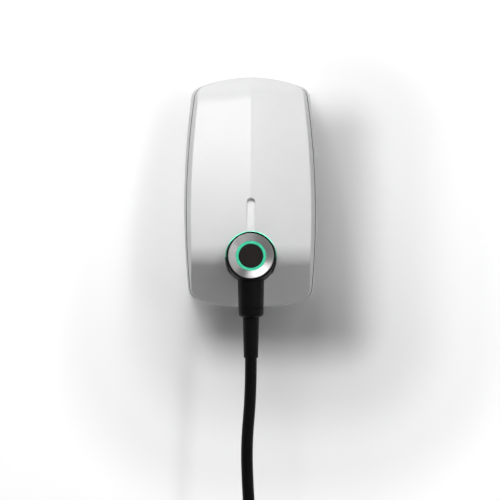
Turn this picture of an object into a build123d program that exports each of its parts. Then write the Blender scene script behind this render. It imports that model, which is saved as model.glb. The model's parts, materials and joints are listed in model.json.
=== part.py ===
from build123d import *
import math
import os

# All lengths are millimetres. Seen from the front, X is to the right and Z is up. The wall is at Y = 0.
# A depth is measured from the wall towards the front, so depth d lies at Y = -d.

# Housing outline where it meets the wall
body_width = 188.6
body_height = 328.0
widest_up = 104.0
top_corner_in = 11.0
top_corner_down = 18.0
low_corner_in = 6.5
low_corner_up = 15.0
top_corner_radius = 18.0
low_corner_radius = 16.0
least_corner_radius = 1.0

# Draft of the four sides, given as travel between the wall and the nose plane
nose_plane = 160.0
side_draft = 15.5
top_corner_draft = 20.5
top_corner_fall = 19.0
crown_fall = 20.5
low_corner_draft = 12.5
low_corner_lift = 8.0
base_lift = 10.0

# Folded front: brow, slightly crowned main face with a centre crease, fold and lower face
brow_depth = 98.5
brow_down = 23.2
brow_angle = 22.0
brow_radius = 45.0
brow_side_fall = 9.0
face_crown = 4.0
fold_depth = 152.0
fold_up = 69.5
fold_radius = 32.0
lower_face_angle = 52.0
crease_angle = 6.0
rim_radius = 2.5
front_overreach = 7.0
behind_wall = 20.0

# Shells and the seam between them
wall = 3.0
seam_depth = 48.0
seam_gap = 1.0
seam_step = 0.7
skirt_gap = 1.5
back_wall_depth = 12.0
lip_clearance = 0.2
lip_thickness = 2.0
lip_height = 5.0
gasket_inset = 0.1
fit_clearance = 0.3

# Plug head: the face plane leans back, all heights in it are measured outwards from the bezel's front
head_depth = 158.0
head_z = -89.3
head_tilt = 10.0
head_height = 37.5
rim_outer_radius = 32.4
rim_below_face = 0.6
rim_round = 1.2
bezel_radius = 29.8
bezel_thickness = 3.2
bezel_dish = 1.2
light_ring_outer = 19.8
light_ring_inner = 16.2
light_ring_height = 5.0
light_ring_below_face = 1.0
disc_radius = 15.9
disc_thickness = 2.2
disc_below_face = 0.5
head_fit = 0.1

# Pocket round the head, the groove above it and the light in the gap
pocket_radius = 33.9
pocket_floor_gap = 0.5
pocket_wall = 2.6
groove_width = 10.2
groove_floor_depth = 130.9
groove_top_z = -15.5
groove_lean = 17.0
groove_draft = 8.0
glow_thickness = 1.1
glow_recess = 9.0
glow_arc = 180.0
glow_led_count = 9
glow_led_size = 1.0
led_board_overlap = 8.0

# Sleeve, gland and bend sleeve under the head
sleeve_set_back = 15.5
sleeve_top_radius = 17.9
sleeve_low_radius = 16.7
sleeve_low_z = -158.0
collar_height = 12.5
collar_round = 6.0
seam_chamfer = 0.8
bend_root_radius = 9.0
bend_top_radius = 10.9
bend_low_radius = 9.4
bend_length = 53.5

# Contacts between plug and station
contact_centre_up = 10.0
contact_ring_radius = 11.5
contact_arc = 220.0
power_pin_radius = 2.4
pilot_pin_radius = 1.5
pilot_pin_x = 6.5
pilot_pin_down = 13.5
pin_engagement = 14.0
pin_embedded = 10.0
pin_point = 0.75
contact_sleeve_wall = 0.8
contact_tail = 4.0
contact_recess = 1.5
socket_radius = 18.0
socket_flange_radius = 20.0
socket_flange = 3.0
socket_length = 16.0
lock_screw_radius = 2.4
lock_screw_head_radius = 5.0
lock_screw_head = 4.0
lock_screw_seat = 12.0

# Wall dock
dock_inset = 12.0
dock_plate = 2.5
dock_rim = 10.5
dock_rim_wall = 2.5
wall_hole_spacing_x = 110.0
wall_hole_spacing_z = 190.0
wall_hole_radius = 3.25
wall_boss_radius = 8.5
wall_boss_depth = 9.0
wall_head_radius = 6.5
wall_head_depth = 4.0
hook_x = 30.0
hook_down = 46.0
hook_width = 20.0
hook_thickness = 6.0
hook_lip = 6.0
inlet_axis_depth = 16.5
inlet_bore_radius = 8.0
inlet_neck_radius = 11.0
inlet_flange_radius = 13.5
inlet_flange = 2.0
inlet_tab_width = 38.0
inlet_tab_depth = 31.0
inlet_tab_thickness = 3.5
inlet_tab_up = 1.2

# Terminals and the connector between dock and station
well_width = 88.0
well_depth = 40.0
well_top_z = -60.0
terminal_width = 62.0
terminal_height = 32.0
terminal_depth = 34.0
terminal_below_well = 4.0
pole_count = 5
pole_pitch = 11.0
terminal_screw_radius = 3.2
terminal_screw_height = 2.5
wire_hole_depth = 10.5
dock_wire_radius = 2.0
dock_wire_depth = 7.0
connector_z = 62.0
dock_connector_width = 62.0
dock_connector_height = 18.0
station_connector_width = 60.0
station_connector_height = 16.0
blade_thickness = 1.2
blade_height = 6.0
blade_reach = 7.0

# Screws
housing_screw_in = 24.0
housing_screw_up = 100.0
housing_screw_radius = 1.9
housing_head_radius = 3.8
housing_head = 3.0
housing_tube_radius = 5.5
housing_boss_radius = 4.5
housing_screw_grip = 11.0
lock_screw_x = 50.0
station_lock_radius = 1.95
station_lock_head_radius = 3.6
station_lock_head = 2.6
station_lock_length = 13.0
station_lock_boss = 6.5
station_lock_depth = 6.75
station_lock_up = 9.8
lug_width = 12.0
lug_depth = 9.5
lug_height = 12.0
screw_fit = 0.1

# Boards
board_thickness = 1.6
power_board_depth = 24.0
power_board_width = 124.0
power_board_height = 170.0
power_board_z = 35.0
board_hole_in = 8.0
standoff_radius = 4.0
board_screw_radius = 1.35
board_screw_head_radius = 2.8
board_screw_head = 2.0
board_screw_length = 7.0
control_board_depth = 84.0
control_board_width = 100.0
control_board_height = 120.0
control_board_z = 38.0
spacer_in = 6.0
spacer_radius = 3.5

# Components on the boards
block_corner = 1.5
component_gap = 2.0
relay_width = 28.0
relay_height = 36.0
relay_depth = 38.0
relay_z = 88.0
meter_width = 32.0
meter_height = 44.0
meter_depth = 40.0
meter_z = 38.0
transformer_width = 30.0
transformer_height = 26.0
transformer_depth = 24.0
transformer_z = -4.0
sensor_radius = 17.0
sensor_bore = 9.0
sensor_depth = 18.0
capacitor_radius = 8.0
capacitor_height = 25.0
output_height = 12.0
output_depth = 14.0
wire_straight = 14.0
chip_size = 16.0
chip_height = 2.0
chip_corner = 0.8
chip_places = [(-22.0, 20.0), (6.0, 20.0), (26.0, 44.0)]
radio_width = 26.0
radio_height = 22.0
radio_depth = 3.5
radio_place = (-24.0, 62.0)
antenna_width = 44.0
antenna_height = 8.0
antenna_depth = 5.0
antenna_place = (8.0, 82.0)
ribbon_width = 20.0
ribbon_thickness = 1.0

# Free cable, its coil and the vehicle connector, with the routes' points as (x, depth, z)
cable_diameter = 15.6
bend_share = 0.45
lead_route = [
    (0.0, 142.5, -224.0),
    (0.0, 142.5, -272.0),
    (-6.0, 143.0, -338.0),
    (-4.0, 145.0, -398.0),
    (-1.0, 146.5, -438.0),
    (22.5, 147.5, -482.0),
    (64.0, 147.0, -510.0),
    (89.0, 138.0, -552.0),
    (91.0, 125.0, -599.0),
]
tail_route = [
    (12.0, 96.4, -472.4),
    (66.0, 97.0, -472.4),
    (107.0, 99.0, -496.0),
    (131.0, 103.0, -538.0),
    (131.0, 103.0, -583.0),
]
coil_depth = 112.0
coil_z = -578.0
coil_radius = 90.0
coil_bundle = 46.8
strap_angles = [-18.0, 118.0, 232.0]
strap_arc = 11.0
strap_thickness = 2.0
strap_clearance = 0.2
boot_length = 34.0
boot_top_radius = 9.4
boot_low_radius = 13.0
boot_ring_count = 5
boot_ring_pitch = 5.2
boot_ring_depth = 1.2
grip_length = 92.0
grip_top_radius = 14.5
grip_waist_down = 37.0
grip_waist_width = 43.0
grip_waist_depth = 39.0
grip_full_down = 74.0
grip_width = 60.0
grip_depth = 54.0
nose_radius = 28.5
nose_flat = 24.0
nose_length = 44.0
nose_wall = 2.6
nose_cavity = 36.0
insert_radius = 21.5
insert_recess = 3.0
vehicle_ring_radius = 13.0
vehicle_ring_count = 6
vehicle_contact_radius = 3.0
vehicle_contact_bore = 2.2
vehicle_contact_depth = 24.0
cap_wall = 2.4
cap_length = 26.0
cap_bead = 1.6

os.makedirs("parts", exist_ok=True)

half_width = body_width / 2
half_height = body_height / 2
brow_z = half_height - brow_down
fold_z = -half_height + fold_up
widest_z = -half_height + widest_up
side_reach = half_width + front_overreach
rear_rim_depth = seam_depth - seam_gap / 2
front_rim_depth = seam_depth + seam_gap / 2
back_wall_front = back_wall_depth + wall


def front_plane(depth):
    """Plane parallel to the wall at a depth, facing the front."""
    return Plane.XZ.offset(depth)


def wall_outline(depth, inset, narrowing=0.0):
    """Housing outline at a depth: four arcs with rounded corners, narrowed and moved inwards by the inset."""
    share = depth / nose_plane
    half = half_width - narrowing
    widest = half - side_draft * share
    top_x = half - top_corner_in - top_corner_draft * share
    top_z = half_height - top_corner_down - top_corner_fall * share
    low_x = half - low_corner_in - low_corner_draft * share
    low_z = -half_height + low_corner_up + low_corner_lift * share
    crown_z = half_height - crown_fall * share
    base_z = -half_height + base_lift * share
    with BuildSketch(front_plane(depth)) as outline:
        with BuildLine():
            ThreePointArc((-top_x, top_z), (0, crown_z), (top_x, top_z))
            ThreePointArc((top_x, top_z), (widest, widest_z), (low_x, low_z))
            ThreePointArc((low_x, low_z), (0, base_z), (-low_x, low_z))
            ThreePointArc((-low_x, low_z), (-widest, widest_z), (-top_x, top_z))
        make_face()
        if inset:
            offset(amount=-inset)
        fillet(outline.vertices().sort_by(Axis.Y)[:2], max(low_corner_radius - inset, least_corner_radius))
        fillet(outline.vertices().sort_by(Axis.Y)[-2:], max(top_corner_radius - inset, least_corner_radius))
    return outline.sketch


def front_profile(x, inset):
    """Section of the folded front at a distance from the centre crease, moved inwards by the inset."""
    set_back = x * math.tan(math.radians(crease_angle))
    brow = Vector(set_back - brow_depth, brow_z - brow_side_fall * x / side_reach)
    fold = Vector(set_back - fold_depth, fold_z)
    chord = brow - fold
    crown = (brow + fold) / 2 + Vector(-chord.Y, chord.X).normalized() * face_crown
    low_z = -half_height - behind_wall
    low = Vector(fold.X + (fold.Y - low_z) * math.tan(math.radians(lower_face_angle)), low_z)
    top = Vector(behind_wall, brow.Y + (behind_wall - brow.X) * math.tan(math.radians(brow_angle)))
    with BuildSketch(Plane.YZ.offset(x)) as profile:
        with BuildLine():
            Polyline(top, (behind_wall, low_z), low, fold)
            ThreePointArc(fold, crown, brow)
            Line(brow, top)
        make_face()
        if inset:
            offset(amount=-inset)
        fillet(profile.vertices().sort_by_distance(fold)[0], fold_radius - inset)
        fillet(profile.vertices().sort_by_distance(brow)[0], brow_radius - inset)
    return profile.sketch


def housing_form(inset, narrowing=0.0):
    """Solid form of the whole housing: drafted outline, cut to the creased and folded front."""
    with BuildPart() as front:
        add(front_profile(0, inset))
        add(front_profile(side_reach, inset))
        loft(ruled=True)
        mirror(about=Plane.YZ)
    with BuildPart() as form:
        add(wall_outline(0, inset, narrowing))
        add(wall_outline(nose_plane, inset, narrowing))
        loft(ruled=True)
        add(front.part, mode=Mode.INTERSECT)
    return form.part


def rim_edges(solid):
    """Edges where the front meets the sides: away from the wall and the crease, and not smooth."""
    chosen = []
    for edge in solid.edges():
        middle = edge.position_at(0.5)
        if abs(middle.X) < wall or abs(middle.Y) < wall:
            continue
        sides = [face for face in solid.faces() if any(edge.is_same(other) for other in face.edges())]
        normals = [face.normal_at(middle) for face in sides]
        if normals[0].get_angle(normals[1]) > crease_angle:
            chosen.append(edge)
    return chosen


def slab_between(form, near_depth, far_depth):
    """The slice of a form between two depths."""
    with BuildPart() as slab:
        add(form)
        split(bisect_by=front_plane(near_depth), keep=Keep.TOP)
        split(bisect_by=front_plane(far_depth), keep=Keep.BOTTOM)
    return slab.part


def finish(piece, label):
    """Name a piece and write it to its own file."""
    piece.label = label
    export_step(piece, f"parts/{label}.step")


outer_form = housing_form(0.0)
inner_form = housing_form(wall)
cover_form = housing_form(0.0, seam_step)
cover_inner_form = housing_form(wall, seam_step)
lip_outer_form = housing_form(wall + lip_clearance, seam_step)
lip_inner_form = housing_form(wall + lip_clearance + lip_thickness, seam_step)
gasket_form = housing_form(gasket_inset)

head_lean = math.radians(head_tilt)
head_plane = Plane(
    origin=(0, -head_depth, head_z),
    x_dir=(1, 0, 0),
    z_dir=(0, -math.cos(head_lean), math.sin(head_lean)),
)
head_axis = Axis((0, 0, 0), head_plane.z_dir)
contact_start = 90 - contact_arc / 2
glow_middle_radius = (pocket_radius + rim_outer_radius) / 2
pocket_floor = head_height + pocket_floor_gap
socket_back = pocket_floor + socket_length

housing_screw_x = half_width - housing_screw_in
housing_screw_places = [(x, z) for x in (-housing_screw_x, housing_screw_x)
                        for z in (-housing_screw_up, housing_screw_up)]
housing_seat = back_wall_depth + 2 * housing_head
boss_start = seam_depth - wall
hook_z = half_height - hook_down
pole_xs = [pole_pitch * (i - (pole_count - 1) / 2) for i in range(pole_count)]
lock_seat_z = -half_height + station_lock_up
lug_low_z = lock_seat_z + wall + fit_clearance
power_hole_x = power_board_width / 2 - board_hole_in
power_hole_z = power_board_height / 2 - board_hole_in
spacer_x = control_board_width / 2 - spacer_in
spacer_z = control_board_height / 2 - spacer_in
power_front = power_board_depth + board_thickness
control_front = control_board_depth + board_thickness


def board_places(half_x, half_z, centre_z):
    """The four corner places of a board, as sketch points on a front plane."""
    return [(x, centre_z + z) for x in (-half_x, half_x) for z in (-half_z, half_z)]


power_holes = board_places(power_hole_x, power_hole_z, power_board_z)
spacer_places = board_places(spacer_x, spacer_z, control_board_z)


# Wall dock: a tray with four screw bosses, two hooks, an inlet tab and two lugs for the lock screws
dock_base_z = -half_height + dock_inset
tab_low_z = dock_base_z + inlet_tab_up
tab_top_z = tab_low_z + inlet_tab_thickness
with BuildPart() as wall_dock:
    extrude(wall_outline(0, dock_inset), amount=dock_rim)
    extrude(wall_outline(0, dock_inset + dock_rim_wall), amount=dock_rim, mode=Mode.SUBTRACT)
    extrude(wall_outline(0, dock_inset), amount=dock_plate)
    with BuildSketch(front_plane(0)):
        with GridLocations(wall_hole_spacing_x, wall_hole_spacing_z, 2, 2):
            Circle(wall_boss_radius)
    extrude(amount=wall_boss_depth)
    with BuildSketch(front_plane(0)):
        with Locations((-hook_x, hook_z), (hook_x, hook_z)):
            Rectangle(hook_width, hook_thickness)
    extrude(amount=back_wall_front + fit_clearance + wall)
    with BuildSketch(front_plane(back_wall_front + fit_clearance)):
        lip_z = hook_z + (hook_thickness + hook_lip) / 2
        with Locations((-hook_x, lip_z), (hook_x, lip_z)):
            Rectangle(hook_width, hook_lip)
    extrude(amount=wall)
    with BuildSketch(front_plane(0)):
        with Locations((0, (tab_low_z + tab_top_z) / 2)):
            Rectangle(inlet_tab_width, inlet_tab_thickness)
    extrude(amount=inlet_tab_depth)
    with BuildSketch(front_plane(0)):
        lug_z = lug_low_z + lug_height / 2
        with Locations((-lock_screw_x, lug_z), (lock_screw_x, lug_z)):
            Rectangle(lug_width, lug_height)
    extrude(amount=lug_depth)
    with BuildSketch(front_plane(0)):
        with GridLocations(wall_hole_spacing_x, wall_hole_spacing_z, 2, 2):
            Circle(wall_hole_radius)
    extrude(amount=wall_boss_depth, mode=Mode.SUBTRACT)
    with BuildSketch(front_plane(wall_boss_depth - wall_head_depth)):
        with GridLocations(wall_hole_spacing_x, wall_hole_spacing_z, 2, 2):
            Circle(wall_head_radius)
    extrude(amount=wall_head_depth, mode=Mode.SUBTRACT)
    for foot_z, radius in ((tab_top_z, inlet_neck_radius), (tab_low_z, inlet_flange_radius + fit_clearance)):
        with BuildSketch(Plane.XY.offset(foot_z)):
            with Locations((0, -inlet_axis_depth)):
                Circle(radius)
        extrude(amount=-dock_inset, mode=Mode.SUBTRACT)
    with BuildSketch(Plane.XY.offset(lug_low_z)):
        with Locations((-lock_screw_x, -station_lock_depth), (lock_screw_x, -station_lock_depth)):
            Circle(station_lock_radius + screw_fit)
    extrude(amount=lug_height, mode=Mode.SUBTRACT)
finish(wall_dock.part, "wall_dock")

# Rubber grommet in the inlet tab, with a groove that grips the tab
grommet_low = tab_low_z - inlet_flange
grommet_top = tab_top_z + inlet_flange
with BuildPart() as inlet_grommet:
    with BuildSketch(Plane.XY.offset(grommet_low)):
        with Locations((0, -inlet_axis_depth)):
            Circle(inlet_flange_radius)
    extrude(amount=inlet_flange)
    with BuildSketch(Plane.XY.offset(tab_low_z)):
        with Locations((0, -inlet_axis_depth)):
            Circle(inlet_neck_radius)
    extrude(amount=inlet_tab_thickness)
    with BuildSketch(Plane.XY.offset(tab_top_z)):
        with Locations((0, -inlet_axis_depth)):
            Circle(inlet_flange_radius)
    extrude(amount=inlet_flange)
    with BuildSketch(Plane.XY.offset(grommet_low)):
        with Locations((0, -inlet_axis_depth)):
            Circle(inlet_bore_radius)
    extrude(amount=grommet_top - grommet_low, mode=Mode.SUBTRACT)
finish(inlet_grommet.part, "inlet_grommet")

# Supply terminals on the dock, with a well over each clamping screw and a wire hole under it
terminal_top_z = well_top_z - terminal_below_well
terminal_z = terminal_top_z - terminal_height / 2
with BuildPart() as terminal_block:
    with BuildSketch(front_plane(dock_plate)):
        with Locations((0, terminal_z)):
            RectangleRounded(terminal_width, terminal_height, wall)
    extrude(amount=terminal_depth - dock_plate)
    with BuildSketch(front_plane(terminal_depth - terminal_screw_height)):
        with Locations([(x, terminal_z) for x in pole_xs]):
            Circle(terminal_screw_radius + fit_clearance)
    extrude(amount=terminal_screw_height, mode=Mode.SUBTRACT)
    with BuildSketch(Plane.XY.offset(terminal_top_z - terminal_height)):
        with Locations([(x, -terminal_depth / 2) for x in pole_xs]):
            Circle(terminal_screw_radius)
    extrude(amount=wire_hole_depth, mode=Mode.SUBTRACT)
finish(terminal_block.part, "terminal_block")

with BuildPart() as terminal_screws:
    with BuildSketch(front_plane(terminal_depth - terminal_screw_height)):
        with Locations([(x, terminal_z) for x in pole_xs]):
            Circle(terminal_screw_radius)
    extrude(amount=terminal_screw_height)
    with BuildSketch(front_plane(terminal_depth - terminal_screw_height / 2)):
        with Locations([(x, terminal_z) for x in pole_xs]):
            Rectangle(2 * terminal_screw_radius, blade_thickness)
    extrude(amount=terminal_screw_height, mode=Mode.SUBTRACT)
finish(terminal_screws.part, "terminal_screws")

# Blade connector: sockets on the dock, blades on the station
with BuildPart() as dock_connector:
    with BuildSketch(front_plane(dock_plate)):
        with Locations((0, connector_z)):
            RectangleRounded(dock_connector_width, dock_connector_height, wall)
    extrude(amount=back_wall_depth - dock_plate)
    with BuildSketch(front_plane(back_wall_depth)):
        with Locations([(x, connector_z) for x in pole_xs]):
            Rectangle(blade_thickness + 2 * fit_clearance, blade_height + 2 * fit_clearance)
    extrude(amount=-(blade_reach + fit_clearance), mode=Mode.SUBTRACT)
finish(dock_connector.part, "dock_connector")

dock_wire_top_z = connector_z - dock_connector_height / 2
with BuildPart() as dock_wires:
    with BuildSketch(Plane.XY.offset(terminal_top_z)):
        with Locations([(x, -dock_wire_depth) for x in pole_xs]):
            Circle(dock_wire_radius)
    extrude(amount=dock_wire_top_z - terminal_top_z)
finish(dock_wires.part, "dock_wires")

station_connector_back = back_wall_depth + fit_clearance
with BuildPart() as station_connector:
    with BuildSketch(front_plane(station_connector_back)):
        with Locations((0, connector_z)):
            RectangleRounded(station_connector_width, station_connector_height, wall)
    extrude(amount=power_board_depth - station_connector_back)
finish(station_connector.part, "station_connector")

with BuildPart() as station_blades:
    with BuildSketch(front_plane(station_connector_back)):
        with Locations([(x, connector_z) for x in pole_xs]):
            Rectangle(blade_thickness, blade_height)
    extrude(amount=-blade_reach)
finish(station_blades.part, "station_blades")

# Rear housing: a tub with a recess for the dock behind its back wall and a well over the terminals
with BuildPart() as rear_cavity:
    add(slab_between(inner_form, back_wall_front, rear_rim_depth - lip_height))
    add(slab_between(lip_inner_form, rear_rim_depth - lip_height, rear_rim_depth + lip_height + wall))
    with BuildSketch(front_plane(0)):
        with Locations((0, well_top_z + wall - half_height / 2)):
            Rectangle(well_width + 2 * wall, half_height)
    extrude(amount=well_depth + wall, mode=Mode.SUBTRACT)
    with BuildSketch(front_plane(0)):
        with Locations(housing_screw_places):
            Circle(housing_tube_radius)
    extrude(amount=boss_start, mode=Mode.SUBTRACT)
    with BuildSketch(front_plane(0)):
        with Locations(power_holes):
            Circle(standoff_radius)
    extrude(amount=power_board_depth, mode=Mode.SUBTRACT)

with BuildPart() as lock_bosses:
    with BuildSketch(Plane.XY.offset(lock_seat_z + wall)):
        with Locations((-lock_screw_x, -station_lock_depth), (lock_screw_x, -station_lock_depth)):
            Circle(station_lock_boss)
    extrude(amount=-lug_height)
    add(slab_between(outer_form, skirt_gap, rear_rim_depth), mode=Mode.INTERSECT)

with BuildPart() as rear_recess:
    add(slab_between(inner_form, 0, back_wall_depth))
    add(lock_bosses.part, mode=Mode.SUBTRACT)
    with BuildSketch(front_plane(0)):
        with Locations((0, well_top_z - half_height / 2)):
            Rectangle(well_width, half_height)
    extrude(amount=well_depth)
    add(inner_form, mode=Mode.INTERSECT)

with BuildPart() as rear_housing:
    add(slab_between(outer_form, skirt_gap, rear_rim_depth))
    add(slab_between(lip_outer_form, rear_rim_depth, rear_rim_depth + lip_height))
    add(rear_cavity.part, mode=Mode.SUBTRACT)
    add(rear_recess.part, mode=Mode.SUBTRACT)
    with BuildSketch(front_plane(back_wall_depth)):
        slot_z = hook_z + hook_thickness / 2 + fit_clearance - hook_thickness - hook_lip / 2
        with Locations((-hook_x, slot_z), (hook_x, slot_z)):
            Rectangle(hook_width + 2 * wall, 2 * hook_thickness + hook_lip)
    extrude(amount=wall, mode=Mode.SUBTRACT)
    with BuildSketch(front_plane(back_wall_depth)):
        with Locations((0, connector_z)):
            Rectangle(station_connector_width + wall, station_connector_height + wall)
    extrude(amount=wall, mode=Mode.SUBTRACT)
    with BuildSketch(front_plane(0)):
        with Locations((0, -half_height)):
            Rectangle(inlet_tab_width + 2 * wall, 2 * dock_inset)
    extrude(amount=inlet_tab_depth + wall, mode=Mode.SUBTRACT)
    with BuildSketch(front_plane(back_wall_depth)):
        with Locations(housing_screw_places):
            Circle(housing_screw_radius + fit_clearance)
    extrude(amount=boss_start, mode=Mode.SUBTRACT)
    with BuildSketch(front_plane(back_wall_depth)):
        with Locations(housing_screw_places):
            Circle(housing_head_radius + fit_clearance)
    extrude(amount=housing_seat - back_wall_depth, mode=Mode.SUBTRACT)
    with BuildSketch(front_plane(power_board_depth)):
        with Locations(power_holes):
            Circle(board_screw_radius + screw_fit)
    extrude(amount=-board_screw_length, mode=Mode.SUBTRACT)
    with BuildSketch(Plane.XY.offset(lock_seat_z + wall)):
        with Locations((-lock_screw_x, -station_lock_depth), (lock_screw_x, -station_lock_depth)):
            Circle(station_lock_radius + fit_clearance)
    extrude(amount=-lug_height, mode=Mode.SUBTRACT)
    with BuildSketch(Plane.XY.offset(lock_seat_z)):
        with Locations((-lock_screw_x, -station_lock_depth), (lock_screw_x, -station_lock_depth)):
            Circle(station_lock_head_radius + fit_clearance)
    extrude(amount=-lug_height, mode=Mode.SUBTRACT)
finish(rear_housing.part, "rear_housing")

with BuildPart() as housing_gasket:
    add(slab_between(gasket_form, rear_rim_depth, front_rim_depth))
    add(cover_inner_form, mode=Mode.SUBTRACT)
finish(housing_gasket.part, "housing_gasket")

# Front cover: the creased and folded shell, with a cup round the plug head and a groove above it
groove_tilt = math.radians(groove_lean)
groove_plane = Plane(
    origin=(0, -groove_floor_depth, groove_top_z),
    x_dir=(1, 0, 0),
    z_dir=(0, -math.cos(groove_tilt), math.sin(groove_tilt)),
)


def groove(grow):
    """The drafted groove above the head on its leaning floor, grown on all sides for the wall behind it."""
    length = groove_top_z - head_z
    with BuildPart() as slot:
        with BuildSketch(groove_plane.offset(-grow)):
            with Locations((0, -length / 2)):
                SlotOverall(length + 2 * grow, groove_width + 2 * grow, rotation=90)
        extrude(amount=fold_radius + grow, taper=-groove_draft)
    return slot.part


with BuildPart() as cover_cavity:
    add(slab_between(cover_inner_form, seam_depth, nose_plane))
    with BuildSketch(head_plane.offset(-pocket_floor - pocket_wall)):
        Circle(pocket_radius + pocket_wall)
    extrude(amount=nose_plane, mode=Mode.SUBTRACT)
    add(groove(pocket_wall), mode=Mode.SUBTRACT)
    with BuildSketch(front_plane(boss_start)):
        with Locations(housing_screw_places):
            Circle(housing_boss_radius)
    extrude(amount=nose_plane, mode=Mode.SUBTRACT)

with BuildPart() as front_cover:
    add(cover_form)
    fillet(rim_edges(front_cover.part), rim_radius)
    split(bisect_by=front_plane(front_rim_depth), keep=Keep.TOP)
    add(cover_cavity.part, mode=Mode.SUBTRACT)
    with BuildSketch(head_plane.offset(-pocket_floor)):
        Circle(pocket_radius)
    extrude(amount=nose_plane, mode=Mode.SUBTRACT)
    add(groove(0.0), mode=Mode.SUBTRACT)
    with BuildSketch(head_plane.offset(-pocket_floor - pocket_wall)):
        with Locations((0, contact_centre_up)):
            Circle(socket_radius + fit_clearance)
        with PolarLocations(glow_middle_radius, glow_led_count, 0, glow_arc, endpoint=True):
            Circle(glow_led_size)
    extrude(amount=pocket_wall, mode=Mode.SUBTRACT)
    with BuildSketch(front_plane(boss_start)):
        with Locations(housing_screw_places):
            Circle(housing_screw_radius + screw_fit)
    extrude(amount=housing_screw_grip + wall, mode=Mode.SUBTRACT)
finish(front_cover.part, "front_cover")

# Light guide that fills the upper half of the gap round the head, and its board behind the cup
def ring_sector(plane, outer_radius, inner_radius, arc):
    """Face of a ring's sector on a plane, centred on its upward direction."""
    start = 90 - arc / 2
    edges = [Vector(1, 0).rotate(Axis.Z, angle) for angle in (start, start + arc)]
    with BuildSketch(plane) as sector:
        with BuildLine():
            CenterArc((0, 0), outer_radius, start, arc)
            CenterArc((0, 0), inner_radius, start, arc)
            for edge in edges:
                Line(edge * inner_radius, edge * outer_radius)
        make_face()
    return sector.sketch


with BuildPart() as glow_guide:
    glow_face = ring_sector(head_plane.offset(-pocket_floor), glow_middle_radius + glow_thickness / 2,
                            glow_middle_radius - glow_thickness / 2, glow_arc)
    extrude(glow_face, amount=pocket_floor - glow_recess)
finish(glow_guide.part, "glow_guide")

led_board_front = pocket_floor + pocket_wall
with BuildPart() as led_board:
    board_inner_radius = socket_flange_radius + contact_centre_up + fit_clearance
    board_plane = head_plane.offset(-led_board_front - board_thickness)
    board_face = ring_sector(board_plane, pocket_radius + pocket_wall, board_inner_radius,
                             glow_arc + led_board_overlap)
    extrude(board_face, amount=board_thickness)
finish(led_board.part, "led_board")

with BuildPart() as glow_leds:
    with BuildSketch(head_plane.offset(-led_board_front)):
        with PolarLocations(glow_middle_radius, glow_led_count, 0, glow_arc, endpoint=True):
            Rectangle(glow_led_size, glow_led_size)
    extrude(amount=glow_led_size)
finish(glow_leds.part, "glow_leds")


def contact_faces(height, grow):
    """Faces of the power and pilot contacts at a height on the head's axis, grown by an allowance."""
    with BuildSketch(head_plane.offset(height)) as layout:
        with Locations((0, contact_centre_up)):
            with PolarLocations(contact_ring_radius, pole_count, contact_start, contact_arc, endpoint=True):
                Circle(power_pin_radius + grow)
            with Locations((-pilot_pin_x, -pilot_pin_down), (pilot_pin_x, -pilot_pin_down)):
                Circle(pilot_pin_radius + grow)
    return layout.sketch


# Plug: head with stepped front, tapered sleeve, and the pieces in its face
sleeve_height = head_z - sleeve_low_z
sleeve_depth = head_depth - sleeve_set_back
with BuildPart() as plug_housing:
    with BuildSketch(head_plane.offset(-head_height)):
        Circle(rim_outer_radius)
    extrude(amount=head_height - rim_below_face)
    fillet(plug_housing.edges().sort_by(head_axis)[-1], rim_round)
    chamfer(plug_housing.edges().sort_by(head_axis)[0], rim_round)
    with Locations((0, -sleeve_depth, sleeve_low_z + sleeve_height / 2)):
        Cone(sleeve_low_radius, sleeve_top_radius, sleeve_height)
    chamfer(plug_housing.faces().sort_by(Axis.Z)[0].edges(), seam_chamfer)
    with BuildSketch(head_plane.offset(-bezel_thickness - head_fit)):
        Circle(bezel_radius + head_fit)
    extrude(amount=head_height, mode=Mode.SUBTRACT)
    with BuildSketch(head_plane.offset(-light_ring_below_face - light_ring_height - board_thickness)):
        Circle(light_ring_outer + head_fit)
        Circle(light_ring_inner - head_fit, mode=Mode.SUBTRACT)
    extrude(amount=head_height, mode=Mode.SUBTRACT)
    with BuildSketch(head_plane.offset(-disc_below_face - disc_thickness - board_thickness)):
        Circle(light_ring_inner - head_fit)
    extrude(amount=head_height, mode=Mode.SUBTRACT)
    with BuildSketch(head_plane.offset(-lock_screw_seat)):
        Circle(lock_screw_head_radius + fit_clearance)
    extrude(amount=head_height, mode=Mode.SUBTRACT)
    with BuildSketch(head_plane.offset(-head_height)):
        Circle(lock_screw_radius + fit_clearance)
    extrude(amount=head_height, mode=Mode.SUBTRACT)
    extrude(contact_faces(-head_height, 0.0), amount=pin_embedded, mode=Mode.SUBTRACT)
finish(plug_housing.part, "plug_housing")

with BuildPart() as contact_pins:
    extrude(contact_faces(-head_height - pin_engagement, 0.0), amount=pin_engagement + pin_embedded)
    chamfer(contact_pins.edges().group_by(head_axis)[0], pin_point)
finish(contact_pins.part, "contact_pins")

with BuildPart() as plug_lock_screw:
    with BuildSketch(head_plane.offset(-lock_screw_seat)):
        Circle(lock_screw_head_radius)
    extrude(amount=lock_screw_head)
    with BuildSketch(head_plane.offset(-lock_screw_seat + lock_screw_head)):
        RegularPolygon(lock_screw_radius, 6)
    extrude(amount=-lock_screw_head / 2, mode=Mode.SUBTRACT)
    with BuildSketch(head_plane.offset(-lock_screw_seat)):
        Circle(lock_screw_radius)
    extrude(amount=-(socket_back - lock_screw_seat - socket_flange))
finish(plug_lock_screw.part, "plug_lock_screw")

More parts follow.
